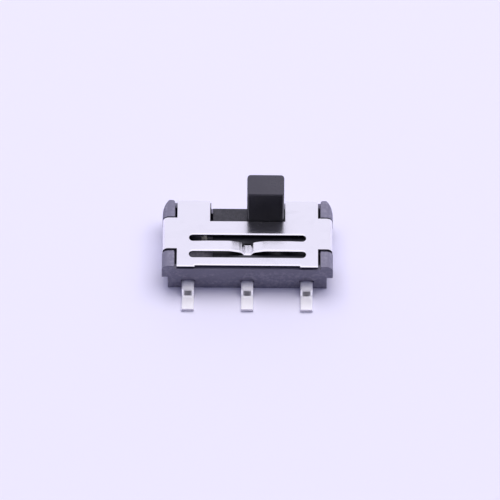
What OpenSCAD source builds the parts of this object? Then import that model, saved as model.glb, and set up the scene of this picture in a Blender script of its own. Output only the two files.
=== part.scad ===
// Ultra-miniature surface-mount slide switch, one pole and two positions, knob on top.
// Units are millimetres. X runs along the switch, Y from the solder feet to the back, Z up.
// The origin is the centre of the body in plan, on the board.

/* [Body] */
// Length of the lower body, without the ears
body_length = 6.7; // [6.5:0.05:7.0]
// Depth of the body, front to back
body_depth = 3.5; // [3.4:0.05:3.8]
// Height of the body, from the board to the cover's top face
body_height = 1.5; // [1.45:0.05:1.8]
// Thickness of the long walls
wall = 0.25; // [0.2:0.05:0.35]

/* [Ears] */
// Length over the ears
ears_length = 7.2; // [7.2:0.05:7.6]
// Height of an ear, down from the cover's top face
ear_drop = 0.77; // [0.6:0.01:0.8]
// Rounding of an ear's outer top edge
ear_edge_r = 0.28; // [0.1:0.02:0.3]
// Radius of the back ears' curved outer side in plan
ear_corner_r = 0.9; // [0.5:0.05:1]

/* [Cover] */
// Thickness of the cover sheet
sheet = 0.2; // [0.15:0.01:0.2]
// Width of the end tabs
tab_width = 1.62; // [1.2:0.02:1.64]
// Length of the two slots beside the detent leaf
slot_length = 4.94; // [4.6:0.02:5.2]
// Width of each slot
slot_width = 0.36; // [0.3:0.02:0.4]
// Width of the detent leaf
leaf_width = 0.5; // [0.4:0.02:0.5]
// Depth of the crest pressed into the leaf
crest_depth = 0.3; // [0.24:0.02:0.3]

/* [Slider] */
// Travel of the knob, stop to stop
travel = 1.5; // [1.2:0.1:1.5]
// Width of the knob along the travel
knob_width = 1.56; // [1.2:0.02:1.56]
// Depth of the knob, front to back
knob_depth = 1.08; // [0.9:0.02:1.08]
// Height of the knob above the cover
knob_height = 1.83; // [1.0:0.01:2.0]

/* [Terminals] */
// Distance between terminals
pitch = 2.5; // [2.4:0.1:2.5]
// Width of a terminal
terminal_width = 0.52; // [0.4:0.01:0.6]
// Thickness of the terminal strip
strip = 0.16; // [0.12:0.01:0.16]
// Distance that the feet reach out of the body
reach = 1.24; // [1.1:0.02:1.5]

/* [Hidden] */
$fn = 96;

// Clearances
slide_gap = 0.02;
stop_gap = 0.015;
end_gap = 0.09;
cover_gap = 0.03;
crest_gap = 0.015;
tab_gap = 0.06;
front_tab_gap = 0.12;
tab_stand = 0.03;
clinch_gap = 0.04;
plate_gap = 0.115;
front_gap = 0.07;
channel_gap = 0.05;
back_gap = 0.04;

// Levels above the board
seat_z = body_height - sheet;
floor_z = 0.42;
skin = 0.06;
carriage_z = seat_z - cover_gap;
cam_z = seat_z - crest_depth - crest_gap;
sill_z = 0.9;
ear_z = body_height - ear_drop;

// Base
body_x = body_length / 2;
body_y = body_depth / 2;
ear_x = ears_length / 2;
cavity_y = body_y - wall;
ear_width = 0.515;
ear_inner_x = ear_x - ear_width;
end_wall = 0.29;
cavity_x = body_x - end_wall;
ear_inner_y = tab_width / 2 + tab_gap;
front_ear_y = tab_width / 2 + front_tab_gap;
ear_inner_r = 0.1;
ear_back_in = 0.28;
ear_curve_y = sqrt(pow(ear_corner_r, 2) - pow(ear_corner_r - ear_back_in, 2));
tab_chamfer = 0.05;

// Cover
plate_x = ear_inner_x - plate_gap;
plate_front_y = -body_y + front_gap;
plate_back_y = body_y - back_gap;
wing_x = 2.22;
opening_x = 1.59;
opening_y = 0.63;
leaf_y = -0.675;
slot_y = leaf_width / 2 + slot_width / 2;
bend_in = 0.05;
clinch_z = 0.3;
clinch_length = 0.22;

// Crest of the leaf: a shallow dip from each shoulder, a knee, a steep flank, then the flat tip
shoulder = 0.1;
dip_blend = 0.8;
dip_angle = 12.5;
dip_length = 0.27;
knee_r = 0.05;
flank_angle = 58;
tip_r = 0.08;
tip_half = 0.09;
dip_drop = dip_blend * (1 - cos(dip_angle)) + dip_length * sin(dip_angle);
knee_drop = knee_r * (cos(dip_angle) - cos(flank_angle));
tip_drop = (tip_r + sheet) * (1 - cos(flank_angle));
flank = (crest_depth - dip_drop - knee_drop - tip_drop) / sin(flank_angle);
dip_across = dip_blend * sin(dip_angle) + dip_length * cos(dip_angle);
knee_across = knee_r * (sin(flank_angle) - sin(dip_angle));
flank_across = flank * cos(flank_angle) + (tip_r + sheet) * sin(flank_angle);
crest_half = dip_across + knee_across + flank_across + tip_half;

// Slider
rest_x = travel / 2;
knob_back_gap = 0.02;
knob_front_y = body_y - knob_back_gap - knob_depth;
knob_front_r = 0.1;
knob_back_r = 0.2;
knob_top_r = 0.06;
carriage_x = cavity_x - end_gap - travel / 2;
carriage_y = cavity_y - slide_gap;
skirt = 0.28;
pocket_z = 0.74;
groove_depth = 0.1;
groove_half = 0.2;
notch_x = travel / 2 + knob_width / 2 + stop_gap;

// Terminals and contacts
contact_y = 0.44;
pad_depth = 0.4;
common_pad_x = 0.75;
side_pad_in = 1.7;
bead_x = 1.8;
bead_r = 0.12;
bead_height = 0.06;
terminal_end_y = -body_y - reach;
foot_length = 0.64;
foot_angle = 58;
foot_bend = 0.08;
exit_width = 0.62;
exit_height = 0.3;
exit_depth = 0.06;
clip_sheet = 0.08;
clip_width = 0.34;
clip_flat = 0.48;
clip_angle = 17;
clip_arm = 0.5;
clip_bend = 0.12;
clip_tip = 0.16;
clip_pin_r = 0.08;
clip_pin_x = 0.24;
clip_pin_gap = 0.01;

// ---- Strip drawn as a pen stroke: each stretch carries the next one at its end ----

// A straight stretch of the given length and thickness
module run(length, t) {
    square([length, t]);
    translate([length, 0]) children();
}

// A sector of a ring, from angle a0 to a1
module ring_sector(r_in, r_out, a0, a1) {
    far = 2 * r_out;
    intersection() {
        difference() {
            circle(r = r_out);
            circle(r = r_in);
        }
        polygon([
            [0, 0],
            far * [cos(a0), sin(a0)],
            far * [cos((a0 + a1) / 2), sin((a0 + a1) / 2)],
            far * [cos(a1), sin(a1)]
        ]);
    }
}

// A bend towards -Y, with r_in on its inner, lower side
module bend_down(r_in, t, angle) {
    translate([0, -r_in]) {
        ring_sector(r_in, r_in + t, 90 - angle, 90);
        rotate(-angle) translate([0, r_in]) children();
    }
}

// A bend towards +Y, with r_in on its inner, upper side
module bend_up(r_in, t, angle) {
    translate([0, r_in + t]) {
        ring_sector(r_in, r_in + t, -90, -90 + angle);
        rotate(angle) translate([0, -r_in - t]) children();
    }
}

// An XZ outline, extruded along Y from y0 to y1
module along_y(y0, y1) {
    translate([0, y1, 0]) rotate([90, 0, 0]) linear_extrude(y1 - y0) children();
}

// A YZ outline whose first axis runs towards the front, extruded along X and centred on x
module across_x(x, width) {
    translate([x - width / 2, 0, 0]) rotate([90, 0, -90]) mirror([0, 0, 1])
        linear_extrude(width) children();
}

// A box between two corners
module box(low, high) {
    translate(low) cube(high - low);
}

// The same shape on both sides of the middle, left and right
module both_ends() {
    children();
    mirror([1, 0, 0]) children();
}

// ---- Base ----

// Outline of an ear pair's section in XZ: flat top, rounded outer edge
module ear_section() {
    difference() {
        translate([ear_inner_x, ear_z]) square([ear_x - ear_inner_x, ear_drop]);
        translate([ear_x - ear_edge_r, body_height - ear_edge_r]) difference() {
            square(ear_edge_r + 1);
            circle(r = ear_edge_r);
        }
    }
}

// The front ear on the +X side
module front_ear() {
    along_y(-body_y, -front_ear_y) ear_section();
}

// What is cut off a square corner at the origin by an arc of radius r that starts y in front of it
module corner_cut(r, y) {
    translate([-r, -y, seat_z]) linear_extrude(body_height, center = true) difference() {
        square(r + 1);
        circle(r = r);
    }
}

// The back ear on the +X side: its outer side curves in to the back, its inner corner is rounded
module back_ear() {
    difference() {
        along_y(ear_inner_y, body_y) ear_section();
        translate([ear_x, body_y, 0]) corner_cut(ear_corner_r, ear_curve_y);
        translate([ear_inner_x, body_y, 0]) mirror([1, 0, 0]) corner_cut(ear_inner_r, ear_inner_r);
    }
}

// The end wall under a tab: chamfered where the sheet bends, notched where it folds under
module tab_relief() {
    far = body_x + 1;
    along_y(-front_ear_y, ear_inner_y) polygon([
        [body_x - tab_chamfer, seat_z],
        [far, seat_z],
        [far, seat_z - tab_chamfer],
        [body_x, seat_z - tab_chamfer]
    ]);
    along_y(-front_ear_y, ear_inner_y) polygon([
        [body_x - bend_in - clinch_length - clinch_gap, -1],
        [body_x - bend_in - clinch_length - clinch_gap, clinch_z],
        [body_x - tab_chamfer, clinch_z],
        [body_x, clinch_z + tab_chamfer],
        [far, clinch_z + tab_chamfer],
        [far, -1]
    ]);
}

// The small arched recess over a terminal's way out
module exit_recess(x) {
    r = exit_width / 2;
    translate([x, -body_y - 1, floor_z]) rotate([-90, 0, 0]) linear_extrude(1 + exit_depth)
        intersection() {
            circle(r = r);
            translate([-r, -exit_height]) square([2 * r, exit_height]);
        }
}

// The trench in the floor that leaves the contacts bare
module contact_trench() {
    x = bead_x + bead_r + skin / 2;
    y = pad_depth / 2;
    box([-x, contact_y - y, floor_z], [x, contact_y + y, seat_z]);
}

module base() {
    color([0.19, 0.185, 0.22]) difference() {
        union() {
            box([-body_x, -body_y, 0], [body_x, body_y, seat_z]);
            both_ends() front_ear();
            both_ends() back_ear();
        }
        box([-cavity_x, -cavity_y, floor_z + skin], [cavity_x, cavity_y, seat_z]);
        contact_trench();
        box([-notch_x, 0, sill_z], [notch_x, body_y + 1, body_height]);
        both_ends() tab_relief();
        for (side = [-1, 0, 1]) exit_recess(side * pitch);
        both_ends() side_terminal();
        middle_terminal();
    }
}

// ---- Cover ----

// The plate in plan, with the opening, the slots and the gap that the crest bridges
module plate_outline() {
    difference() {
        union() {
            translate([-wing_x, plate_front_y]) square([2 * wing_x, plate_back_y - plate_front_y]);
            both_ends() translate([wing_x, -body_y]) square([plate_x - wing_x, body_y + plate_back_y]);
            both_ends() translate([plate_x - 0.1, -tab_width / 2])
                square([body_x + tab_stand - bend_in - plate_x + 0.1, tab_width]);
        }
        translate([-opening_x, opening_y]) square([2 * opening_x, body_depth]);
        for (side = [-1, 1]) translate([0, leaf_y + side * slot_y]) slot_outline();
        translate([-crest_half, leaf_y - leaf_width / 2]) square([2 * crest_half, leaf_width]);
    }
}

// A slot with round ends
module slot_outline() {
    r = slot_width / 2;
    square([slot_length - 2 * r, slot_width], center = true);
    both_ends() translate([slot_length / 2 - r, 0]) circle(r = r);
}

// Half of the crest's section, from its flat shoulder down to just past the middle of its tip
module crest_half_section() {
    run(shoulder, sheet)
        bend_down(dip_blend, sheet, dip_angle)
            run(dip_length, sheet)
                bend_down(knee_r, sheet, flank_angle - dip_angle)
                    run(flank, sheet)
                        bend_up(tip_r, sheet, flank_angle)
                            run(2 * tip_half, sheet);
}

// The crest pressed into the leaf
module crest() {
    along_y(leaf_y - leaf_width / 2, leaf_y + leaf_width / 2)
        both_ends() translate([-crest_half - shoulder, seat_z]) crest_half_section();
}

// The tab on the +X side: over the end, down it and folded under the base's shoulder
module tab() {
    drop = seat_z - bend_in - clinch_z - bend_in;
    along_y(-tab_width / 2, tab_width / 2) translate([body_x + tab_stand - bend_in, seat_z])
        bend_down(bend_in, sheet, 90)
            run(drop, sheet)
                bend_down(bend_in, sheet, 90)
                    run(clinch_length, sheet);
}

module cover() {
    color([0.83, 0.82, 0.86]) union() {
        translate([0, 0, seat_z]) linear_extrude(sheet) plate_outline();
        crest();
        both_ends() tab();
    }
}

// ---- Slider ----

// The knob in plan, with larger roundings at its back
module knob_plan() {
    x = knob_width / 2;
    middle = knob_front_y + knob_depth / 2;
    rounded_rect(-x, x, knob_front_y, middle + knob_front_r, knob_front_r);
    rounded_rect(-x, x, middle - knob_back_r, knob_front_y + knob_depth, knob_back_r);
}

// The knob: its top edges are eased
module knob() {
    x = knob_width / 2;
    top = body_height + knob_height;
    intersection() {
        translate([0, 0, sill_z + slide_gap]) linear_extrude(top - sill_z - slide_gap) knob_plan();
        along_y(knob_front_y - 1, knob_front_y + knob_depth + 1)
            rounded_rect(-x, x, 0, top, knob_top_r);
        across_x(0, 2 * knob_width) rounded_rect(
            -knob_front_y - knob_depth, -knob_front_y, 0, top, knob_top_r
        );
    }
}

// A rectangle with its corners rounded
module rounded_rect(x0, x1, y0, y1, r) {
    translate([x0 + r, y0]) square([x1 - x0 - 2 * r, y1 - y0]);
    translate([x0, y0 + r]) square([x1 - x0, y1 - y0 - 2 * r]);
    for (x = [x0 + r, x1 - r], y = [y0 + r, y1 - r]) translate([x, y]) circle(r = r);
}

// The channel under the leaf, with a groove in its floor for each position of the crest
module detent_channel() {
    y0 = leaf_y - leaf_width / 2 - channel_gap;
    y1 = leaf_y + leaf_width / 2 + channel_gap;
    box([-carriage_x - 1, y0, cam_z], [carriage_x + 1, y1, body_height]);
    for (side = [-1, 1]) along_y(y0, y1)
        translate([side * travel / 2, cam_z]) polygon([
            [-groove_half, 0.01],
            [-groove_half, 0],
            [0, -groove_depth],
            [groove_half, 0],
            [groove_half, 0.01]
        ]);
}

// The carriage is a channel over the contact clip, running on its two long skirts
module slider() {
    low = floor_z + skin + slide_gap;
    color([0.05, 0.05, 0.055]) translate([rest_x, 0, 0]) {
        difference() {
            union() {
                box([-carriage_x, -carriage_y, low], [carriage_x, carriage_y, carriage_z]);
                knob();
            }
            detent_channel();
            box(
                [-carriage_x - 1, -carriage_y + skirt, 0],
                [carriage_x + 1, carriage_y - skirt, pocket_z]
            );
        }
        both_ends() translate([clip_pin_x, contact_y, pocket_z - clip_sheet - 0.03])
            cylinder(r = clip_pin_r, h = clip_sheet + 0.08);
    }
}

// ---- Contact clip ----

// Half of the clip's section: flat middle, arm sloping down, rounded foot, tip turned up
module clip_half_section() {
    run(clip_flat, clip_sheet)
        bend_down(clip_bend, clip_sheet, clip_angle)
            run(clip_arm, clip_sheet)
                bend_up(clip_bend, clip_sheet, 2 * clip_angle)
                    run(clip_tip, clip_sheet);
}

module contact_clip() {
    color([0.8, 0.7, 0.45]) translate([rest_x, 0, pocket_z - clip_sheet]) difference() {
        along_y(contact_y - clip_width / 2, contact_y + clip_width / 2)
            both_ends() clip_half_section();
        both_ends() translate([clip_pin_x, contact_y, -0.1])
            cylinder(r = clip_pin_r + clip_pin_gap, h = 0.3);
    }
}

// ---- Terminals ----

// The gull wing's section, from the pad's far end out to the foot
module wing_section() {
    a = foot_angle;
    r = foot_bend;
    drop = floor_z - strip;
    flank = (drop - (2 * r + strip) * (1 - cos(a))) / sin(a);
    across = (2 * r + strip) * sin(a) + flank * cos(a);
    start = contact_y + pad_depth / 2;
    shoulder = -terminal_end_y - foot_length - across + start;
    translate([-start, floor_z - strip])
        run(shoulder, strip)
            bend_down(r, strip, a)
                run(flank, strip)
                    bend_up(r, strip, a)
                        run(foot_length, strip);
}

// The contact pad in the floor, from x0 to x1
module contact_pad(x0, x1) {
    box(
        [x0, contact_y - pad_depth / 2, floor_z - strip],
        [x1, contact_y + pad_depth / 2, floor_z]
    );
}

// The bead across a side pad, which the clip's foot stands on
module contact_bead() {
    along_y(contact_y - pad_depth / 2, contact_y + pad_depth / 2) intersection() {
        translate([bead_x, floor_z + bead_height - bead_r]) circle(r = bead_r);
        translate([bead_x - 1, floor_z - strip / 2]) square([2, 1]);
    }
}

// A side terminal, pad, bead and gull wing, on the +X side
module side_terminal() {
    across_x(pitch, terminal_width) wing_section();
    contact_pad(side_pad_in, pitch + terminal_width / 2);
    contact_bead();
}

// The middle terminal, with the pad that both positions use
module middle_terminal() {
    across_x(0, terminal_width) wing_section();
    contact_pad(-common_pad_x, common_pad_x);
}

module terminal_left() {
    color([0.85, 0.84, 0.86]) mirror([1, 0, 0]) side_terminal();
}

module terminal_common() {
    color([0.85, 0.84, 0.86]) middle_terminal();
}

module terminal_right() {
    color([0.85, 0.84, 0.86]) side_terminal();
}

base();
cover();
slider();
contact_clip();
terminal_left();
terminal_common();
terminal_right();
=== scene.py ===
"""Looks of an ultra-miniature slide switch: moulded base, plated cover, knob, contacts, solder feet."""

import logging
import math
from dataclasses import dataclass
from enum import Enum

import bmesh
import bpy
import numpy as np
from mathutils import Matrix, Vector


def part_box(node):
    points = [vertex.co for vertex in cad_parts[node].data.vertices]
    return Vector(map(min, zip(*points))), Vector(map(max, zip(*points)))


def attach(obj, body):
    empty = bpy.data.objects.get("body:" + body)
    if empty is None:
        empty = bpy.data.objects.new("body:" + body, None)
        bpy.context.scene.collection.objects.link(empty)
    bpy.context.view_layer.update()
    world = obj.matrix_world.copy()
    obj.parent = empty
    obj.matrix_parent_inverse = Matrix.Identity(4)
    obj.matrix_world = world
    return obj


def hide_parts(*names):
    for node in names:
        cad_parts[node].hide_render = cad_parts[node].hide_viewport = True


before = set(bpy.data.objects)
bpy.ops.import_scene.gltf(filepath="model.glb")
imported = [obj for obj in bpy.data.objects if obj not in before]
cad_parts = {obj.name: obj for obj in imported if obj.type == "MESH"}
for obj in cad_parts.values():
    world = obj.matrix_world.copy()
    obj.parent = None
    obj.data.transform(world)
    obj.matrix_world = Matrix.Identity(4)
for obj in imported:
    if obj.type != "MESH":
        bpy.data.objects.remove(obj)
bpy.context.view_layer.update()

LOG = logging.getLogger("slide_switch")
MM = 0.001
MICRON = 0.001 * MM
Triple = tuple[float, float, float]
SAME_POINT = 0.1 * MICRON
FLAT_DEGREES = 0.6


class Body(Enum):
    """The two bodies of the switch."""

    HOUSING = "housing"
    CARRIAGE = "carriage"


# ---- Shader expressions ----


class Wire:
    """A number that varies over a surface: a socket with arithmetic, each step of which is a Math node."""

    def __init__(self, recipe: "Recipe", socket: bpy.types.NodeSocket) -> None:
        """Wraps a socket of the recipe's tree."""
        self.recipe = recipe
        self.socket = socket

    def _math(self, operation: str, first: object, second: object) -> "Wire":
        """Adds a Math node on two values."""
        node = self.recipe.add("ShaderNodeMath", {"operation": operation}, {0: first, 1: second})
        return Wire(self.recipe, node.outputs[0])

    def __add__(self, other: object) -> "Wire":
        """self + other."""
        return self._math("ADD", self, other)

    def __radd__(self, other: object) -> "Wire":
        """other + self."""
        return self._math("ADD", other, self)

    def __sub__(self, other: object) -> "Wire":
        """self - other."""
        return self._math("SUBTRACT", self, other)

    def __rsub__(self, other: object) -> "Wire":
        """other - self."""
        return self._math("SUBTRACT", other, self)

    def __mul__(self, other: object) -> "Wire":
        """self * other."""
        return self._math("MULTIPLY", self, other)

    def __rmul__(self, other: object) -> "Wire":
        """other * self."""
        return self._math("MULTIPLY", other, self)

    def at_most(self, other: object) -> "Wire":
        """The smaller of the two."""
        return self._math("MINIMUM", self, other)

    def at_least(self, other: object) -> "Wire":
        """The larger of the two."""
        return self._math("MAXIMUM", self, other)

    def step(self, low: float, high: float) -> "Wire":
        """Rises smoothly from 0 at low to 1 at high.

        Args:
            low: value at and below which the result is 0.
            high: value at and above which it is 1.

        Returns:
            The eased share.
        """
        node = self.recipe.add(
            "ShaderNodeMapRange",
            {"interpolation_type": "SMOOTHSTEP"},
            {"Value": self, "From Min": low, "From Max": high},
        )
        return Wire(self.recipe, node.outputs["Result"])


class Recipe:
    """The node tree of one material or of the world."""

    def __init__(self, owner: bpy.types.Material | bpy.types.World) -> None:
        """Empties the owner's node tree and keeps it.

        Args:
            owner: the new material, or the world.
        """
        owner.use_nodes = True
        self.owner = owner
        self.tree = owner.node_tree
        self.tree.nodes.clear()

    def add(
        self,
        kind: str,
        settings: dict[str, object] | None = None,
        sockets: dict[str | int, object] | None = None,
    ) -> bpy.types.Node:
        """Adds one node.

        Args:
            kind: the node's type.
            settings: its properties, set first; "stops" gives a ramp's (place, colour) pairs.
            sockets: values, wires or sockets for its inputs, by name or number.

        Returns:
            The node.
        """
        node = self.tree.nodes.new(kind)
        for key, value in (settings or {}).items():
            if key == "stops":
                self._set_stops(node, value)
            else:
                setattr(node, key, value)
        for key, value in (sockets or {}).items():
            source = value.socket if isinstance(value, Wire) else value
            if isinstance(source, bpy.types.NodeSocket):
                self.tree.links.new(source, node.inputs[key])
            else:
                node.inputs[key].default_value = source
        return node

    @staticmethod
    def _set_stops(node: bpy.types.Node, stops: list[tuple[float, tuple]]) -> None:
        """Gives a colour ramp its stops.

        Args:
            node: the ramp.
            stops: (place, colour) pairs in order, colours with four numbers.
        """
        elements = node.color_ramp.elements
        for extra in range(len(stops) - 2):
            elements.new(0.5)
        for element, (place, colour) in zip(elements, stops):
            element.position = place
            element.color = colour

    def place(self, stretch: Triple = (1, 1, 1)) -> bpy.types.NodeSocket:
        """Object coordinates, in metres.

        Args:
            stretch: factor on each axis, so that a pattern can be drawn out along one of them.

        Returns:
            The vector's socket.
        """
        coordinates = self.add("ShaderNodeTexCoord").outputs["Object"]
        if stretch == (1, 1, 1):
            return coordinates
        return self.add("ShaderNodeMapping", None, {"Vector": coordinates, "Scale": stretch}).outputs[0]

    def height(self) -> Wire:
        """The Object coordinates' height, in metres."""
        return Wire(self, self.add("ShaderNodeSeparateXYZ", None, {"Vector": self.place()}).outputs["Z"])

    def noise(
        self, size: float, detail: float = 2.0, stretch: Triple = (1, 1, 1), turn: float = 0.0
    ) -> Wire:
        """Cloudy noise around 0.5.

        Args:
            size: width of one cloud in metres.
            detail: finer octaves on top.
            stretch: factor on each axis of the coordinates.
            turn: distortion of the clouds.

        Returns:
            The noise's value.
        """
        node = self.add(
            "ShaderNodeTexNoise",
            {"noise_dimensions": "3D"},
            {
                "Vector": self.place(stretch),
                "Scale": 1 / size,
                "Detail": detail,
                "Roughness": 0.55,
                "Distortion": turn,
            },
        )
        return Wire(self, node.outputs[0])

    def blend(self, share: object, first: object, second: object) -> bpy.types.NodeSocket:
        """Mixes two colours.

        Args:
            share: 0 gives the first and 1 the second.
            first: colour or socket.
            second: colour or socket.

        Returns:
            The mixed colour's socket.
        """
        ends = [(*c, 1.0) if isinstance(c, tuple) else c for c in (first, second)]
        sockets = {0: share, 6: ends[0], 7: ends[1]}
        return self.add("ShaderNodeMix", {"data_type": "RGBA"}, sockets).outputs[2]

    def relief(self, *layers: tuple[Wire, float]) -> bpy.types.NodeSocket:
        """A bumped normal.

        Args:
            layers: (height, depth) pairs, with each depth in metres.

        Returns:
            The normal's socket.
        """
        height = sum((wire * depth for wire, depth in layers[1:]), layers[0][0] * layers[0][1])
        node = self.add("ShaderNodeBump", None, {"Strength": 1.0, "Distance": 1.0, "Height": height})
        return node.outputs[0]

    def glow(self, colour: Triple, strength: float) -> bpy.types.Material:
        """Ends the material with an even glow.

        Args:
            colour: its colour.
            strength: its strength.

        Returns:
            The finished material.
        """
        lit = self.add("ShaderNodeEmission", None, {"Color": (*colour, 1.0), "Strength": strength})
        self.add("ShaderNodeOutputMaterial", None, {"Surface": lit.outputs[0]})
        return self.owner

    def surface(self, **sockets: object) -> bpy.types.Material:
        """Ends the material with a Principled shader.

        Args:
            sockets: its inputs, with an underscore for each blank.

        Returns:
            The finished material.
        """
        named = {key.replace("_", " "): value for key, value in sockets.items()}
        named = {
            key: (*value, 1.0) if isinstance(value, tuple) and len(value) == 3 else value
            for key, value in named.items()
        }
        shader = self.add("ShaderNodeBsdfPrincipled", None, named)
        self.add("ShaderNodeOutputMaterial", None, {"Surface": shader.outputs[0]})
        return self.owner


def new_recipe(name: str) -> Recipe:
    """Starts a material of that name."""
    return Recipe(bpy.data.materials.new(name))


# ---- Finishes ----


@dataclass(frozen=True)
class MouldedPlastic:
    """Moulded plastic with a fine spark-eroded grain and faint clouds where the melt flowed.

    Above the given height it takes another, lighter colour: painted light, the brighter look of a top face
    painted into its colour; by default that is nowhere.
    """

    name: str
    colour: Triple
    cloud_colour: Triple
    edge_colour: Triple
    roughness: float
    specular: float
    grain_depth: float
    unevenness: float = 0.08
    lit_top_from: float = 1.0
    lit_top_colour: Triple = (0.0, 0.0, 0.0)
    lit_top_blur: float = 0.02 * MM
    cloud: float = 1.6 * MM
    grain: float = 0.035 * MM
    coarse_grain: float = 0.12 * MM

    def make(self) -> bpy.types.Material:
        """Builds the material.

        Returns:
            The finished material.
        """
        r = new_recipe(self.name)
        clouds = r.noise(self.cloud, detail=3.0, stretch=(0.5, 1.0, 1.4), turn=0.6)
        grain = r.noise(self.grain, detail=2.0)
        coarse = r.noise(self.coarse_grain, detail=3.0)
        edges = Wire(r, r.add("ShaderNodeNewGeometry").outputs["Pointiness"]).step(0.52, 0.62)
        body = r.blend(clouds.step(0.3, 0.7), self.colour, self.cloud_colour)
        rubbed = edges * coarse.step(0.35, 0.75)
        # painted light: above the given height the colour turns lighter, standing in for the light on the
        # top face
        painted_top_light = r.height().step(self.lit_top_from - self.lit_top_blur, self.lit_top_from)
        body = r.blend(painted_top_light * (0.8 + 0.4 * clouds), body, self.lit_top_colour)
        return r.surface(
            Base_Color=r.blend(rubbed * 0.6, body, self.edge_colour),
            Roughness=self.roughness + self.unevenness * (coarse - 0.5) - 0.08 * rubbed,
            Specular_IOR_Level=self.specular,
            Normal=r.relief((grain, self.grain_depth), (coarse, self.grain_depth)),
        )


@dataclass(frozen=True)
class PlatedSheet:
    """Bright plated sheet metal with rolling lines, faint rubbing and a slight lack of flatness."""

    name: str
    colour: Triple
    dull_colour: Triple
    roughness: float
    waviness: float
    wave: float = 1.8 * MM
    line: float = 0.03 * MM
    line_depth: float = 0.02 * MICRON
    smear: float = 0.9 * MM
    speck: float = 0.06 * MM

    def make(self) -> bpy.types.Material:
        """Builds the material.

        Returns:
            The finished material.
        """
        r = new_recipe(self.name)
        waves = r.noise(self.wave, detail=1.0)
        lines = r.noise(self.line, detail=3.0, stretch=(0.03, 1.0, 0.03))
        smears = r.noise(self.smear, detail=4.0, stretch=(0.6, 1.2, 1.0), turn=1.2)
        specks = r.noise(self.speck, detail=1.0).step(0.7, 0.8)
        dull = smears.step(0.45, 0.75)
        return r.surface(
            Base_Color=r.blend(dull * 0.5 + specks * 0.25, self.colour, self.dull_colour),
            Metallic=1.0,
            Roughness=self.roughness + 0.07 * dull + 0.05 * lines + 0.08 * specks,
            Normal=r.relief((waves, self.waviness), (lines, self.line_depth)),
        )


@dataclass(frozen=True)
class CutEdge:
    """The sheared edge of a metal sheet: dull and lined down its height, in the colours it is given."""

    name: str
    colour: Triple
    bright_colour: Triple
    roughness: float
    line: float = 0.03 * MM
    line_depth: float = 1.5 * MICRON
    patch: float = 0.3 * MM

    def make(self) -> bpy.types.Material:
        """Builds the material.

        Returns:
            The finished material.
        """
        r = new_recipe(self.name)
        lines = r.noise(self.line, detail=3.0, stretch=(1.0, 1.0, 0.08))
        patches = r.noise(self.patch, detail=2.0)
        return r.surface(
            Base_Color=r.blend(lines * patches.step(0.3, 0.8), self.colour, self.bright_colour),
            Metallic=1.0,
            Roughness=self.roughness + 0.2 * (lines - 0.5),
            Normal=r.relief((lines, self.line_depth)),
        )


@dataclass(frozen=True)
class PlatedStrip:
    """Contact strip with an electroplated coat: pale, dull, with fine crystals and smears.

    Between the two given heights, where the forming tool has drawn over it, the coat is burnished.
    """

    name: str
    colour: Triple
    dull_colour: Triple
    metallic: float
    roughness: float
    crystal_depth: float
    burnished: tuple[float, float] = (0.0, 0.0)
    burnished_roughness: float = 0.25
    burnished_blur: float = 0.02 * MM
    crystal: float = 0.025 * MM
    smear: float = 0.35 * MM
    smear_depth: float = 1.2 * MICRON

    def make(self) -> bpy.types.Material:
        """Builds the material.

        Returns:
            The finished material.
        """
        r = new_recipe(self.name)
        crystals = r.noise(self.crystal, detail=3.0)
        smears = r.noise(self.smear, detail=3.0, stretch=(1.0, 0.5, 1.0), turn=0.8)
        dull = smears.step(0.4, 0.7)
        low, high = self.burnished
        height = r.height()
        drawn = height.step(low, low + self.burnished_blur)
        drawn = drawn * (1 - height.step(high - self.burnished_blur, high))
        rough = self.roughness + 0.12 * dull + 0.1 * (crystals - 0.5)
        return r.surface(
            Base_Color=r.blend(dull * 0.7, self.colour, self.dull_colour),
            Metallic=self.metallic + (1 - self.metallic) * drawn,
            Roughness=rough + (self.burnished_roughness - rough) * drawn,
            Specular_IOR_Level=0.2,
            Normal=r.relief((crystals, self.crystal_depth), (smears, self.smear_depth)),
        )


# ---- Sheet and strip shapes ----


@dataclass(frozen=True)
class Stretch:
    """A stretch of folded strip: its length along the followed line, and the angle that it turns down."""

    length: float
    turn: float = 0.0


def bend(radius: float, degrees: float) -> Stretch:
    """A bend of that radius: down for a positive angle, up for a negative one."""
    return Stretch(radius * math.radians(abs(degrees)), math.radians(degrees))


def follow(stretches: list[Stretch], along: np.ndarray) -> tuple[np.ndarray, np.ndarray, np.ndarray]:
    """Walks along folded strip.

    The heading grows evenly along each bend, and a point is the running sum of the heading's
    cosine and sine over the way walked.

    Args:
        stretches: the strip's stretches, in order.
        along: distances from its start.

    Returns:
        The way out, the height (0 at the start, negative below it) and the heading in radians.
    """
    knots = np.concatenate([[0.0], np.cumsum([s.length for s in stretches])])
    turned = np.concatenate([[0.0], np.cumsum([s.turn for s in stretches])])
    fine = np.union1d(np.linspace(0.0, knots[-1], 4001), knots)
    heading = np.interp(fine, knots, turned)
    middle = (heading[1:] + heading[:-1]) / 2
    step = np.diff(fine)
    out = np.concatenate([[0.0], np.cumsum(step * np.cos(middle))])
    height = np.concatenate([[0.0], np.cumsum(-step * np.sin(middle))])
    return np.interp(along, fine, out), np.interp(along, fine, height), np.interp(along, knots, turned)


def stations(stretches: list[Stretch], degrees: float, longest: float) -> np.ndarray:
    """Distances at which folded strip is sampled.

    Args:
        stretches: the strip's stretches.
        degrees: turn between two samples of a bend.
        longest: greatest distance between two samples of a straight run.

    Returns:
        The distances, in order, with every stretch's ends among them.
    """
    places = [np.zeros(1)]
    start = 0.0
    for part in stretches:
        cells = math.ceil(max(abs(part.turn) / math.radians(degrees), part.length / longest, 1))
        places.append(start + part.length * np.arange(1, cells + 1) / cells)
        start += part.length
    return np.concatenate(places)


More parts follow.
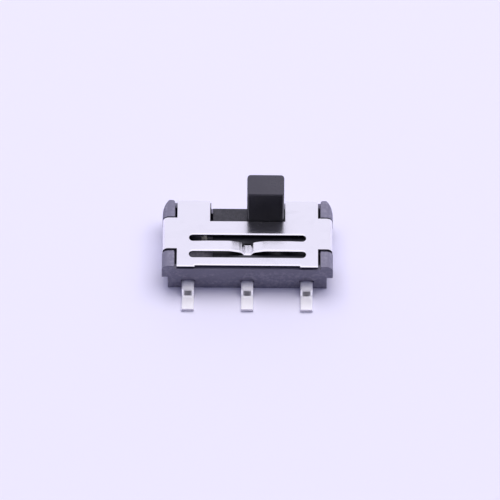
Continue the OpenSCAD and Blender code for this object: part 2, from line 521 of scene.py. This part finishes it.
def filled(marks: np.ndarray, longest: float) -> np.ndarray:
    """Puts evenly spaced values between marks.

    Args:
        marks: values in order.
        longest: greatest step.

    Returns:
        The marks with the values between them.
    """
    parts = [
        np.linspace(a, b, max(2, math.ceil((b - a) / longest - 1e-6) + 1))[:-1]
        for a, b in zip(marks[:-1], marks[1:])
    ]
    return np.concatenate([*parts, marks[-1:]])


def grid_quads(rows: int, columns: int) -> np.ndarray:
    """Corner numbers of the quads of a grid, as an array (rows - 1, columns - 1, 4)."""
    number = np.arange(rows * columns).reshape(rows, columns)
    return np.stack([number[:-1, :-1], number[1:, :-1], number[1:, 1:], number[:-1, 1:]], axis=-1)


def new_piece(name: str, points: np.ndarray, faces: list[list[int]]) -> bpy.types.Object:
    """Makes an object from points and faces.

    Args:
        name: the object's name.
        points: array (count, 3) in metres.
        faces: corner numbers of each face.

    Returns:
        The new object, at the origin.
    """
    mesh = bpy.data.meshes.new(name)
    mesh.from_pydata(points.tolist(), [], faces)
    mesh.update()
    piece = bpy.data.objects.new(name, mesh)
    bpy.context.scene.collection.objects.link(piece)
    return piece


def weld(piece: bpy.types.Object) -> None:
    """Merges a piece's doubled points and drops faces that have shrunk to nothing.

    Args:
        piece: the object.
    """
    work = bmesh.new()
    work.from_mesh(piece.data)
    bmesh.ops.remove_doubles(work, verts=work.verts, dist=SAME_POINT)
    bmesh.ops.dissolve_degenerate(work, edges=work.edges, dist=SAME_POINT)
    work.to_mesh(piece.data)
    work.free()


def merged_copy(node: str, name: str, cuts: tuple[float, ...]) -> bpy.types.Object:
    """Copies a CAD node into a new piece, with its loose triangles joined and its flat faces made whole.

    A face with an opening can't be whole, so faces stay divided at the cuts, and nowhere else. Points
    nearer than the least edge are merged in the end, because a tiny edge would hold back the rounding.

    Args:
        node: the CAD node.
        name: name of the new piece.
        cuts: x of each plane that divides the faces.

    Returns:
        The new object, at the origin.
    """
    same, sliver, least_edge = 0.05 * MICRON, 0.5 * MICRON, 5 * MICRON
    work = bmesh.new()
    work.from_mesh(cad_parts[node].data)
    bmesh.ops.remove_doubles(work, verts=work.verts, dist=same)
    bmesh.ops.dissolve_degenerate(work, edges=work.edges, dist=sliver)
    for x in cuts:
        whole = [*work.verts, *work.edges, *work.faces]
        cut = bmesh.ops.bisect_plane(work, geom=whole, dist=same, plane_co=(x, 0, 0), plane_no=(1, 0, 0))
        for part in cut["geom_cut"]:
            if isinstance(part, bmesh.types.BMEdge):
                part.seam = True
    bmesh.ops.dissolve_limit(
        work,
        angle_limit=math.radians(FLAT_DEGREES),
        verts=work.verts,
        edges=work.edges,
        use_dissolve_boundaries=False,
        delimit={"SEAM"},
    )
    bmesh.ops.remove_doubles(work, verts=work.verts, dist=least_edge)
    bmesh.ops.dissolve_degenerate(work, edges=work.edges, dist=sliver)
    work.verts.index_update()
    points = np.array([v.co[:] for v in work.verts])
    faces = [[v.index for v in face.verts] for face in work.faces]
    work.free()
    return new_piece(name, points, faces)


def ease_edges(
    piece: bpy.types.Object, width: float, rows: int, sharp: float = 32.0
) -> bpy.types.Modifier:
    """Rounds a piece's edges with a Bevel modifier and shades it smooth.

    Args:
        piece: the object.
        width: how far each rounding reaches, in metres.
        rows: faces across each rounding.
        sharp: smallest angle between two faces that is rounded, in degrees.

    Returns:
        The modifier.
    """
    mesh = piece.data
    mesh.polygons.foreach_set("use_smooth", np.ones(len(mesh.polygons), bool))
    bevel = piece.modifiers.new("eased edges", "BEVEL")
    bevel.width = width
    bevel.segments = rows
    bevel.limit_method = "ANGLE"
    bevel.angle_limit = math.radians(sharp)
    bevel.harden_normals = True
    bevel.use_clamp_overlap = True
    bevel.miter_outer = "MITER_ARC"
    return bevel


def hold_in_box(piece: bpy.types.Object, node: str) -> None:
    """Applies a piece's rounding and keeps every point inside the box of its CAD node.

    Args:
        piece: the object, with its modifiers.
        node: the CAD node that it is a copy of.
    """
    graph = bpy.context.evaluated_depsgraph_get()
    mesh = bpy.data.meshes.new_from_object(
        piece.evaluated_get(graph), preserve_all_data_layers=True, depsgraph=graph
    )
    points = np.empty(3 * len(mesh.vertices))
    mesh.vertices.foreach_get("co", points)
    low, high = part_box(node)
    mesh.vertices.foreach_set("co", np.clip(points.reshape(-1, 3), low, high).ravel())
    mesh.update()
    piece.modifiers.clear()
    piece.data = mesh


def settle(piece: bpy.types.Object, body: Body, node: str) -> None:
    """Gives a piece its body and the CAD node that it stands for, and reports it.

    Args:
        piece: the finished object.
        body: the body that it moves with.
        node: the CAD node that it replaces.
    """
    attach(piece, body.value)
    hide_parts(node)
    LOG.info("%s: %d faces, moves with %s", piece.name, len(piece.data.polygons), body.value)


# ---- Pieces ----


@dataclass
class Base:
    """The moulded base with its four ears."""

    edge: float = 0.03 * MM
    pitch: float = 2.5 * MM

    def build(self) -> bpy.types.Object:
        """Makes the base from its CAD node, with the edges of a moulding.

        Its faces are divided through the middle of each terminal's way out.

        Returns:
            The new object.
        """
        piece = merged_copy("base", "base_moulding", (-self.pitch, 0.0, self.pitch))
        ease_edges(piece, self.edge, 3)
        hold_in_box(piece, "base")
        return piece

    def dress(self, piece: bpy.types.Object) -> None:
        """Gives the base its grey plastic.

        Args:
            piece: the base's object.
        """
        piece.data.materials.append(
            MouldedPlastic(
                name="grey_plastic",
                colour=(0.189, 0.182, 0.243),
                cloud_colour=(0.17, 0.162, 0.22),
                edge_colour=(0.33, 0.32, 0.4),
                roughness=0.5,
                specular=0.4,
                grain_depth=0.9 * MICRON,
            ).make()
        )
        settle(piece, Body.HOUSING, "base")


@dataclass
class Cover:
    """The sheet-metal cover: a blank with two slots and an opening, a pressed leaf and folded ends."""

    sheet: float = 0.2 * MM
    bend_in: float = 0.05 * MM
    clinch: float = 0.22 * MM
    ear_gap: float = 0.61 * MM
    tab_half: float = 0.81 * MM
    wing_x: float = 2.22 * MM
    front_step: float = 0.07 * MM
    opening_x: float = 1.59 * MM
    opening_y: float = 0.63 * MM
    leaf_y: float = -0.675 * MM
    leaf_half: float = 0.25 * MM
    slot_width: float = 0.36 * MM
    slot_half: float = 2.47 * MM
    dip_blend: float = 0.8 * MM
    dip_degrees: float = 12.5
    dip_length: float = 0.27 * MM
    knee_r: float = 0.05 * MM
    flank_degrees: float = 58.0
    flank_length: float = 0.081 * MM
    tip_r: float = 0.08 * MM
    tip_half: float = 0.09 * MM
    leaf_twist: float = math.radians(3.5)
    roll_reach: float = 0.085 * MM
    roll_radius: float = 0.17 * MM
    edge: float = 0.03 * MM
    cell: float = 0.15 * MM
    fold_degrees: float = 7.5
    crest_cell: float = 0.05 * MM
    crest_degrees: float = 3.0

    def slots(self) -> tuple[float, float]:
        """The y of each slot's middle, front one first."""
        return tuple(self.leaf_y + side * (self.leaf_half + self.slot_width / 2) for side in (-1, 1))

    def crest(self) -> list[Stretch]:
        """The leaf's upper side from a shoulder to its tip: shallow dip, knee, steep flank, hollow, tip."""
        return [
            bend(self.dip_blend + self.sheet, self.dip_degrees),
            Stretch(self.dip_length),
            bend(self.knee_r + self.sheet, self.flank_degrees - self.dip_degrees),
            Stretch(self.flank_length),
            bend(self.tip_r, -self.flank_degrees),
            Stretch(self.tip_half),
        ]

    def fold(self, low: Vector, high: Vector) -> list[Stretch]:
        """The outer side of an end, from the flat top: over the end, down the tab and under the base.

        Args:
            low: lowest corner of the cover.
            high: highest corner.

        Returns:
            The stretches.
        """
        radius = self.bend_in + self.sheet
        return [
            bend(radius, 90.0),
            Stretch(high.z - low.z - 2 * radius),
            bend(radius, 90.0),
            Stretch(self.clinch),
        ]

    def roll(self, across: np.ndarray, y: np.ndarray, front: float) -> np.ndarray:
        """How far the shear has drawn the sheet down behind its slots and along its front edge.

        With d the distance to the nearest of those edges, the drop is that of a circle of radius R
        that meets the flat sheet at the roll's reach from the edge: R - sqrt(R^2 - (reach - d)^2).
        Round a slot's end it fades out with the sine of the angle.

        Args:
            across: distances from the middle, as a column.
            y: each point's y.
            front: y of the wings' front edge.

        Returns:
            The drop at each point.
        """
        r = self.slot_width / 2
        past = np.maximum(across - (self.slot_half - r), 0.0)
        nearest = []
        for slot in self.slots():
            beyond = np.hypot(past, y - slot) - r - self.roll_reach
            nearest.append(self.roll_reach + beyond * np.clip((y - slot) / r, 0.0, 1.0))
        nearest.append(y - np.where(across > self.wing_x, front, front + self.front_step))
        near = np.clip(self.roll_reach - np.minimum.reduce(nearest), 0.0, self.roll_reach)
        return self.roll_radius - np.sqrt(self.roll_radius**2 - near**2)

    def _sunk(self) -> tuple[np.ndarray, np.ndarray]:
        """Walks down the crest.

        Returns:
            Distances from the middle of the crest, in order, and the leaf's height at each.
        """
        crest = self.crest()
        out, height, _ = follow(crest, stations(crest, self.crest_degrees, self.crest_cell))
        return (out[-1] - out)[::-1], height[::-1]

    def _columns(self, low: Vector, high: Vector) -> tuple[np.ndarray, np.ndarray, np.ndarray]:
        """Places the blank's columns, from the middle to the tab's end.

        They stand at the crest's stations, round the slots' ends with the sine of even angles, and
        at every corner of the outline. Those past the flat top are carried round the fold.

        Args:
            low: lowest corner of the cover.
            high: highest corner.

        Returns:
            Each column's distance from the middle along the sheet, its x, and its height.
        """
        flat = high.x - self.bend_in - self.sheet
        r = self.slot_width / 2
        round_end = self.slot_half - r + r * np.sin(np.radians(np.linspace(0, 90, 13)))
        beside = self.slot_half + self.roll_reach * np.linspace(0, 1, 4)
        corners = [0.0, self.opening_x, self.wing_x, high.x - self.ear_gap, flat]
        marks = np.unique(np.round(np.concatenate([self._sunk()[0], round_end, beside, corners]), 9))
        flat_columns = filled(marks, self.cell)
        fold = self.fold(low, high)
        walked = stations(fold, self.fold_degrees, self.cell)
        out, height, _ = follow(fold, walked)
        across = np.concatenate([flat_columns, flat + walked[1:]])
        x = np.concatenate([flat_columns, flat + out[1:]])
        z = high.z + np.concatenate([np.zeros(len(flat_columns)), height[1:]])
        return across, x, z

    def _rows(self, across: np.ndarray, low: Vector, high: Vector) -> tuple[np.ndarray, np.ndarray]:
        """Places the blank's rows, front to back.

        Those beside a slot follow its outline: middle of the slot plus or minus its half width,
        which is sqrt(r^2 - d^2) in a round end.

        Args:
            across: each column's distance from the middle.
            low: lowest corner of the cover.
            high: highest corner.

        Returns:
            The y of every point, as columns by rows, and the band of each strip between two rows.
        """
        r = self.slot_width / 2
        past = np.clip(across - (self.slot_half - r), 0.0, r)
        half = np.where(across < self.slot_half, np.sqrt(np.maximum(r * r - past * past, 0.0)), 0.0)
        level = np.ones_like(across)
        reach = self.roll_reach
        front, back = self.slots()
        lines = [
            (low.y * level, 3),
            ((low.y + self.front_step) * level, 3),
            ((low.y + self.front_step + reach) * level, 2),
            (front - half - reach, 3),
            (front - half, 1),
            (front + half, 3),
            (front + half + reach, 1),
            (-self.tab_half * level, 2),
            (back - half - reach, 3),
            (back - half, 1),
            (back + half, 3),
            (back + half + reach, 5),
            (self.opening_y * level, 2),
            (self.tab_half * level, 6),
            (high.y * level, 0),
        ]
        rows, band = [lines[0][0]], []
        for number, ((first, count), (last, _)) in enumerate(zip(lines[:-1], lines[1:])):
            rows += [first + (last - first) * k / count for k in range(1, count + 1)]
            band += [number] * count
        return np.stack(rows, axis=1), np.array(band)

    def build(self) -> bpy.types.Object:
        """Makes the cover as the outer side of a sheet, which is then given its thickness and eased edges.

        The blank is a grid of columns along the switch and rows across it. The leaf's rows sink
        along the crest, and rise towards the back by the leaf's slight twist. Bands 4 and 9 are the
        slots, 5 to 8 the leaf, 7 to 12 run on into the tab, and 12 and 13 end at the opening.

        Returns:
            The new object.
        """
        low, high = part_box("cover")
        across, x, z = self._columns(low, high)
        y, band = self._rows(across, low, high)
        sink = np.interp(across, *self._sunk(), right=0.0)
        loose = np.clip((self.slot_half - across) / (2 * self.slot_width), 0.0, 1.0)
        on_leaf = np.zeros(y.shape[1], bool)
        leaf = (band > 4) & (band < 9)
        on_leaf[1:] |= leaf
        on_leaf[:-1] |= leaf
        lift = (y - self.leaf_y + self.leaf_half) * math.tan(self.leaf_twist) * loose[:, None]
        height = z[:, None] - self.roll(across[:, None], y, low.y) + (sink[:, None] + lift) * on_leaf
        points = np.stack([np.broadcast_to(x[:, None], y.shape), y, height], axis=-1)

        middle = ((across[1:] + across[:-1]) / 2)[:, None]
        keep = (middle > self.wing_x) | (band > 0)
        keep &= (band != 4) & (band != 9)
        keep &= (middle > self.opening_x) | (band < 12)
        keep &= (middle < high.x - self.ear_gap) | ((band > 6) & (band < 13))
        right = grid_quads(*y.shape)[keep]
        left = right[:, ::-1] + y.size
        flat_points = points.reshape(-1, 3)
        piece = new_piece(
            "cover_sheet",
            np.concatenate([flat_points, flat_points * (-1, 1, 1)]),
            np.concatenate([right, left]).tolist(),
        )
        weld(piece)
        thicken = piece.modifiers.new("sheet", "SOLIDIFY")
        thicken.thickness = self.sheet
        thicken.offset = -1.0
        thicken.use_even_offset = True
        thicken.use_quality_normals = True
        thicken.material_offset_rim = 1
        ease_edges(piece, self.edge, 3).material = 0
        return piece

    def dress(self, piece: bpy.types.Object) -> None:
        """Gives the cover its bright plating, and its sheared edges a dark metal: partly the duller bare
        edge, partly painted shade.

        Args:
            piece: the cover's object.
        """
        piece.data.materials.append(
            PlatedSheet(
                name="bright_plating",
                colour=(0.955, 0.945, 0.965),
                dull_colour=(0.9, 0.89, 0.915),
                roughness=0.18,
                waviness=1.0 * MICRON,
            ).make()
        )
        piece.data.materials.append(
            # painted shade: the sheared edges get a far darker metal than a bare edge has, standing in for
            # the shade and dark reflections they show
            CutEdge(
                name="sheared_edge_painted_shade",
                colour=(0.1, 0.098, 0.115),
                bright_colour=(0.26, 0.255, 0.29),
                roughness=0.4,
            ).make()
        )
        settle(piece, Body.HOUSING, "cover")


@dataclass
class Slider:
    """The knob with its carriage, and the contact clip under it."""

    edge: float = 0.03 * MM
    clip_edge: float = 0.012 * MM
    knob_x: float = 0.75 * MM
    top_rim: float = 0.02 * MM

    def build(self) -> tuple[bpy.types.Object, bpy.types.Object]:
        """Makes the slider and the clip from their CAD nodes.

        The slider's faces are divided through the middle of the knob.

        Returns:
            The two new objects.
        """
        slider = merged_copy("slider", "slider_moulding", (self.knob_x,))
        ease_edges(slider, self.edge, 3)
        hold_in_box(slider, "slider")
        clip = merged_copy("contact_clip", "contact_spring", ())
        ease_edges(clip, self.clip_edge, 2)
        return slider, clip

    def dress(self, slider: bpy.types.Object, clip: bpy.types.Object) -> None:
        """Gives the slider its black plastic and the clip its plated spring strip.

        Args:
            slider: the slider's object.
            clip: the clip's object.
        """
        slider.data.materials.append(
            MouldedPlastic(
                name="black_plastic",
                colour=(0.0075, 0.0072, 0.0125),
                cloud_colour=(0.007, 0.0068, 0.012),
                edge_colour=(0.05, 0.048, 0.062),
                roughness=0.33,
                specular=0.74,
                grain_depth=0.3 * MICRON,
                unevenness=0.04,
                # painted light: the knob's top face is painted lighter than the same plastic lying shaded in
                # the opening's recess
                lit_top_from=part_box("slider")[1].z - self.top_rim,
                lit_top_colour=(0.031, 0.029, 0.041),
            ).make()
        )
        clip.data.materials.append(
            PlatedStrip(
                name="plated_spring",
                colour=(0.86, 0.8, 0.66),
                dull_colour=(0.74, 0.66, 0.5),
                metallic=1.0,
                roughness=0.28,
                crystal_depth=0.2 * MICRON,
            ).make()
        )
        settle(slider, Body.CARRIAGE, "slider")
        settle(clip, Body.CARRIAGE, "contact_clip")


class Post(Enum):
    """Where a terminal stands along the front."""

    LEFT = -1
    COMMON = 0
    RIGHT = 1


@dataclass
class Terminals:
    """The three terminals, each one strip: contact pad in the floor, way out, gull wing and solder foot."""

    strip: float = 0.16 * MM
    width: float = 0.52 * MM
    roll_reach: tuple[float, float] = (0.2 * MM, 0.05 * MM)
    roll_drop: float = 0.08 * MM
    burr: float = 0.02 * MM
    pad_depth: float = 0.4 * MM
    side_pad_in: float = 1.7 * MM
    foot_length: float = 0.64 * MM
    foot_angle: float = 58.0
    foot_bend: float = 0.08 * MM
    bead_x: float = 1.8 * MM
    bead_r: float = 0.12 * MM
    bead_height: float = 0.06 * MM
    end_edge: float = 0.02 * MM
    cell: float = 0.2 * MM
    bend_degrees: float = 6.0

    def wing(self, low: Vector, high: Vector, top: float) -> list[Stretch]:
        """The middle of the strip's thickness, from the pad's far end out to the foot's end.

        Args:
            low: lowest corner of the terminal.
            high: highest corner.
            top: height of the pad's face.

        Returns:
            The stretches.
        """
        radius = self.foot_bend + self.strip / 2
        a = math.radians(self.foot_angle)
        flank = (top - self.strip - 2 * radius * (1 - math.cos(a))) / math.sin(a)
        out = 2 * radius * math.sin(a) + flank * math.cos(a) + self.foot_length
        return [
            Stretch(self.pad_depth),
            Stretch(high.y - low.y - self.pad_depth - out),
            bend(radius, self.foot_angle),
            Stretch(flank),
            bend(radius, -self.foot_angle),
            Stretch(self.foot_length),
        ]

    def section(self) -> tuple[np.ndarray, np.ndarray, np.ndarray, np.ndarray]:
        """The strip's section: a rectangle with round corners, walked once round from the right side.

        Its upper side has closer points near the left corner, where a side pad has its bead.

        Returns:
            For each point: its share of the way from the left corner's centre to the right one's,
            its corner's part sideways and upwards, and 1 for the upper half or -1 for the lower.
        """
        corner = 7
        turn = np.radians(np.linspace(0, 90, corner))
        upper = np.concatenate([np.linspace(0, 0.3, 15), [0.45, 0.6, 0.8, 1.0]])[::-1][1:-1]
        lower = np.linspace(0, 1, 6)[1:-1]
        share = np.concatenate([np.ones(corner), upper, np.zeros(2 * corner), lower, np.ones(corner)])
        flat = np.zeros(len(upper)), np.zeros(len(lower))
        side = np.concatenate([np.cos(turn), flat[0], -np.sin(turn), -np.cos(turn), flat[1], np.sin(turn)])
        rise = np.concatenate(
            [np.sin(turn), flat[0] + 1, np.cos(turn), -np.sin(turn), flat[1] - 1, -np.cos(turn)]
        )
        half = np.repeat([1.0, -1.0], [2 * corner + len(upper), 2 * corner + len(lower)])
        return share, side, rise, half

    def build(self, post: Post) -> bpy.types.Object:
        """Makes one terminal: its section is carried along the wing, and is as wide as the pad at the start.

        A point is the path's point, plus the section's height along the path's upward normal, and
        lies sideways between the two edges. The bead adds the part of a circle that stands above
        the pad: sqrt(r^2 - d^2) - (r - h).

        Args:
            post: which terminal.

        Returns:
            The new object.
        """
        name = f"terminal_{post.name.lower()}"
        low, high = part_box(name)
        raised = self.bead_height if post is not Post.COMMON else 0.0
        path = self.wing(low, high, high.z - raised)
        walked = stations(path, self.bend_degrees, self.cell)
        pad_end = np.count_nonzero(walked <= self.pad_depth + 1e-9)
        walked = np.concatenate([walked[:pad_end], walked[pad_end - 1 :]])
        out, height, heading = follow(path, walked)
        on_pad = (np.arange(len(walked)) < pad_end)[:, None]
        outer = max(abs(low.x), abs(high.x)) if post is not Post.COMMON else self.width / 2
        inner = outer - self.width
        pad_outer = outer if post is not Post.COMMON else high.x
        pad_inner = self.side_pad_in if post is not Post.COMMON else low.x
        share, side, rise, half = self.section()
        rolled = ~on_pad & (half > 0)
        on_foot = np.clip((walked - walked[-1] + self.foot_length) / (2 * self.foot_bend), 0.0, 1.0)
        on_wing, at_foot = self.roll_reach
        reach = np.where(rolled, on_wing + (at_foot - on_wing) * on_foot[:, None], self.burr)
        drop = np.where(rolled, self.roll_drop, self.burr)
        left = np.where(on_pad, pad_inner, inner) + reach
        right = np.where(on_pad, pad_outer, outer) - reach
        x = left + (right - left) * share + reach * side
        up = (self.strip / 2 - drop) * half + drop * rise
        from_bead = np.abs(x - self.bead_x)
        bead = np.sqrt(np.maximum(self.bead_r**2 - from_bead**2, 0.0)) - (self.bead_r - self.bead_height)
        up = up + np.where(on_pad & (rise > 0.99) & (raised > 0), np.maximum(bead, 0.0), 0.0)
        y = high.y - out[:, None] + up * -np.sin(heading)[:, None]
        z = high.z - raised - self.strip / 2 + height[:, None] + up * np.cos(heading)[:, None]
        points = np.stack([x, y, z], axis=-1)

        rings, count = x.shape
        number = np.arange(rings * count).reshape(rings, count)
        around = np.roll(number, -1, axis=1)
        walls = np.stack([number[:-1], around[:-1], around[1:], number[1:]], axis=-1).reshape(-1, 4)
        faces = [*walls.tolist(), number[0, ::-1].tolist(), number[-1].tolist()]
        if post is Post.LEFT:
            points = points * (-1, 1, 1)
            faces = [face[::-1] for face in faces]
        piece = new_piece(f"solder_{name}", points.reshape(-1, 3), faces)
        piece.data.polygons[len(faces) - 1].material_index = 1
        ease_edges(piece, self.end_edge, 2, 50.0)
        return piece

    def dress(self, pieces: list[bpy.types.Object]) -> None:
        """Gives the terminals their dull tin, with the bare metal of a sheared end on each foot.

        Args:
            pieces: the terminals' objects.
        """
        tin = PlatedStrip(
            name="dull_tin",
            colour=(0.98, 0.975, 0.985),
            dull_colour=(0.94, 0.935, 0.945),
            metallic=0.0,
            roughness=0.45,
            crystal_depth=0.6 * MICRON,
            burnished=(0.15 * MM, 0.36 * MM),
            burnished_roughness=0.31,
        ).make()
        end = CutEdge(
            name="sheared_foot",
            colour=(0.75, 0.73, 0.76),
            bright_colour=(0.92, 0.9, 0.93),
            roughness=0.5,
        ).make()
        for piece in pieces:
            piece.data.materials.append(tin)
            piece.data.materials.append(end)
            settle(piece, Body.HOUSING, piece.name.replace("solder_", ""))


# ---- Studio ----


@dataclass
class Studio:
    """A pale table under an overhead lamp, with a dark card on the viewer's side."""

    backdrop: Triple = (0.855, 0.831, 0.985)
    floor_colour: Triple = (0.79, 0.78, 0.905)
    fill: Triple = (0.362, 0.362, 0.6)
    fill_lean: Triple = (0.1, 0.92, 0.0)
    floor_half: float = 1.5
    card_radius: float = 0.7
    card_azimuth: tuple[float, float, int] = (-30.0, 30.0, 17)
    card_elevation: tuple[float, float, int] = (1.0, 68.0, 15)
    card_glow: float = 0.02
    lamp_height: float = 1.0
    lamp_place: tuple[float, float] = (0.12, 0.38)
    lamp_size: tuple[float, float] = (1.5, 0.75)
    lamp_power: float = 12.75
    lamp_colour: Triple = (1.0, 0.955, 0.87)
    softbox_glow: float = 1.22
    softbox_x: tuple[float, float] = (-0.6, 0.6)
    softbox_y: tuple[float, float] = (-0.4, 0.42)
    view_distance: float = 0.25
    view_elevation: float = 53.0
    view_roll: float = 0.45
    view_centre: Triple = (0.107 * MM, -0.878 * MM, 1.5 * MM)
    view_width: float = 21.05 * MM
    view_range: tuple[float, float] = (0.002, 10.0)
    sensor_mm: float = 36.0

    def build(self) -> None:
        """Sets up the table, the world, the lamp, the card and the camera."""
        self._table()
        self._world()
        self._lamp()
        self._softbox()
        self._card()
        self._camera()
        bpy.context.scene.view_settings.view_transform = "Standard"

    def _table(self) -> None:
        """A large pale floor just under the feet."""
        mesh = bpy.data.meshes.new("table")
        h = self.floor_half
        mesh.from_pydata([(-h, -h, 0), (h, -h, 0), (h, h, 0), (-h, h, 0)], [], [(0, 1, 2, 3)])
        table = bpy.data.objects.new("table", mesh)
        bpy.context.scene.collection.objects.link(table)
        top = new_recipe("table_top")
        mesh.materials.append(
            top.surface(Base_Color=self.floor_colour, Roughness=0.9, Specular_IOR_Level=0.1)
        )

    def _world(self) -> None:
        """Pale to the camera and in reflections, and a weaker diffuse fill that leans to the back."""
        world = bpy.data.worlds.new("studio")
        bpy.context.scene.world = world
        r = Recipe(world)
        rays = r.add("ShaderNodeLightPath").outputs
        mirrored = Wire(r, rays["Is Glossy Ray"]).at_least(Wire(r, rays["Is Transmission Ray"]))
        direct = 1 - Wire(r, rays["Diffuse Depth"]).at_most(1.0)
        shown = Wire(r, rays["Is Camera Ray"]).at_least(mirrored * direct)
        ends = {0: r.add("ShaderNodeTexCoord").outputs["Generated"], 1: self.fill_lean}
        lean = r.add("ShaderNodeVectorMath", {"operation": "DOT_PRODUCT"}, ends).outputs["Value"]
        colour = r.blend(shown, self.fill, self.backdrop)
        strength = 1 + Wire(r, lean) * (1 - shown)
        ground = r.add("ShaderNodeBackground", None, {"Color": colour, "Strength": strength})
        r.add("ShaderNodeOutputWorld", None, {"Surface": ground.outputs[0]})

    def _lamp(self) -> None:
        """A soft lamp a little behind and to the right of overhead."""
        light = bpy.data.lights.new("overhead_lamp", "AREA")
        light.shape = "RECTANGLE"
        light.size, light.size_y = self.lamp_size
        light.energy = self.lamp_power
        light.color = self.lamp_colour
        lamp = bpy.data.objects.new("overhead_lamp", light)
        place = Vector((*self.lamp_place, self.lamp_height))
        lamp.location = place
        lamp.rotation_euler = place.to_track_quat("Z", "Y").to_euler()
        lamp.visible_glossy = False
        bpy.context.scene.collection.objects.link(lamp)

    def _softbox(self) -> None:
        """The lamp's face as the metal sees it: a plane above, seen by glossy rays alone."""
        (x0, x1), (y0, y1) = self.softbox_x, self.softbox_y
        corners = np.array([(x0, y0), (x0, y1), (x1, y1), (x1, y0)])
        points = np.column_stack([corners, np.full(4, self.lamp_height)])
        softbox = new_piece("softbox", points, [[0, 1, 2, 3]])
        softbox.data.materials.append(new_recipe("softbox").glow(self.backdrop, self.softbox_glow))
        softbox.visible_camera = False
        softbox.visible_diffuse = False
        softbox.visible_shadow = False

    def _card(self) -> None:
        """A dark curved card on the viewer's side, which the camera looks through.

        Point (a, e) stands at azimuth a from the viewer's side and elevation e on a sphere.
        """
        a, e = np.meshgrid(
            np.radians(np.linspace(*self.card_azimuth)),
            np.radians(np.linspace(*self.card_elevation)),
            indexing="ij",
        )
        ways = np.stack([np.sin(a) * np.cos(e), -np.cos(a) * np.cos(e), np.sin(e)], axis=-1)
        points = self.card_radius * ways.reshape(-1, 3)
        card = new_piece("dark_card", points, grid_quads(*a.shape).reshape(-1, 4).tolist())
        card.data.materials.append(new_recipe("dark_card").glow(self.backdrop, self.card_glow))
        card.visible_camera = False

    def _camera(self) -> None:
        """A long lens looking down along +Y."""
        data = bpy.data.cameras.new("camera")
        data.sensor_width = self.sensor_mm
        data.lens = self.sensor_mm * self.view_distance / self.view_width
        data.clip_start, data.clip_end = self.view_range
        camera = bpy.data.objects.new("camera", data)
        e = math.radians(self.view_elevation)
        away = Vector((0, -math.cos(e), math.sin(e)))
        level = away.to_track_quat("Z", "Y").to_matrix().to_4x4()
        turn = Matrix.Rotation(math.radians(self.view_roll), 4, away) @ level
        eye = Vector(self.view_centre) + away * self.view_distance
        camera.matrix_world = Matrix.Translation(eye) @ turn
        bpy.context.scene.collection.objects.link(camera)
        bpy.context.scene.camera = camera


def main() -> None:
    """Builds the switch and its studio."""
    logging.basicConfig(level=logging.INFO, format="%(name)s: %(message)s")
    base = Base()
    base.dress(base.build())
    cover = Cover()
    cover.dress(cover.build())
    slider = Slider()
    slider.dress(*slider.build())
    terminals = Terminals()
    terminals.dress([terminals.build(post) for post in Post])
    Studio().build()


if __name__ == "__main__":
    main()
